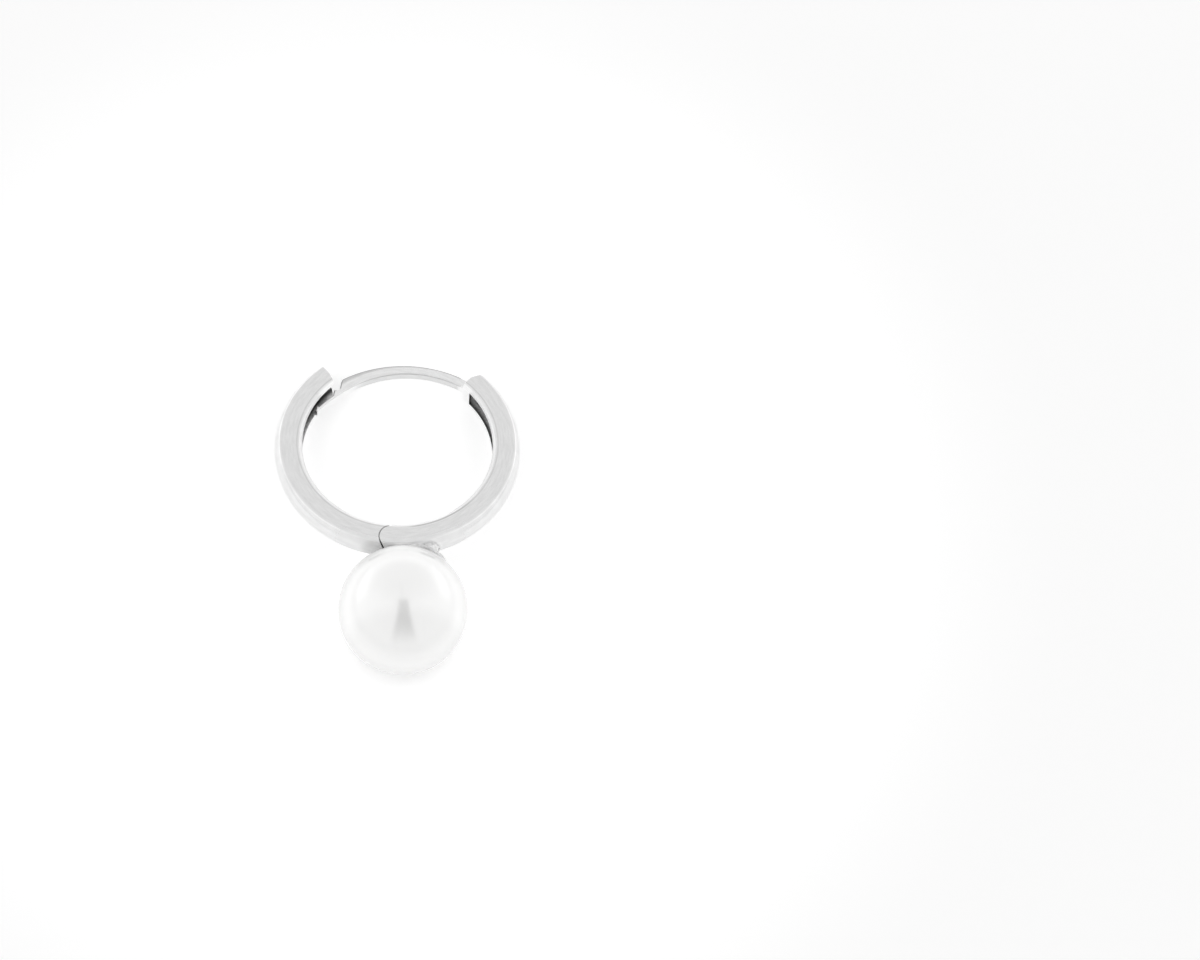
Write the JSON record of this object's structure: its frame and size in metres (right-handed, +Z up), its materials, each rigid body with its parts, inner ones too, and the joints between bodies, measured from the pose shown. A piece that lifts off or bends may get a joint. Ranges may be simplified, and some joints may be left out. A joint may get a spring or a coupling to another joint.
{
  "type": "pearl earring",
  "caption": "Hinged huggie hoop earring in polished white metal with a snap-in ear post and one round white pearl fixed under the hoop.",
  "frame": {"origin": "middle of the outline on the ground, as the earring lies on its side on the pearl and the two arm ends", "axes": "+Z up, +Y from the pearl towards the hoop's open top and its ear post, +X from the catch half towards the post half"},
  "size_m": [0.0124, 0.0174, 0.0064],
  "materials": {
    "white_metal": "mirror polished white metal",
    "pearl": "round white pearl with a soft lustre"
  },
  "bodies": {
    "post_half": {"post_half": "white_metal", "hinge_pin": "white_metal", "pearl": "pearl"},
    "catch_half": {"catch_half": "white_metal"}
  },
  "joints": [
    {"name": "hinge", "type": "hinge", "parent": "post_half", "child": "catch_half", "pos_m": [-0.00045, -0.00166, 0.00251], "axis": [0.0096, 0.1824, 0.9832], "range_deg": [0, 25]}
  ]
}
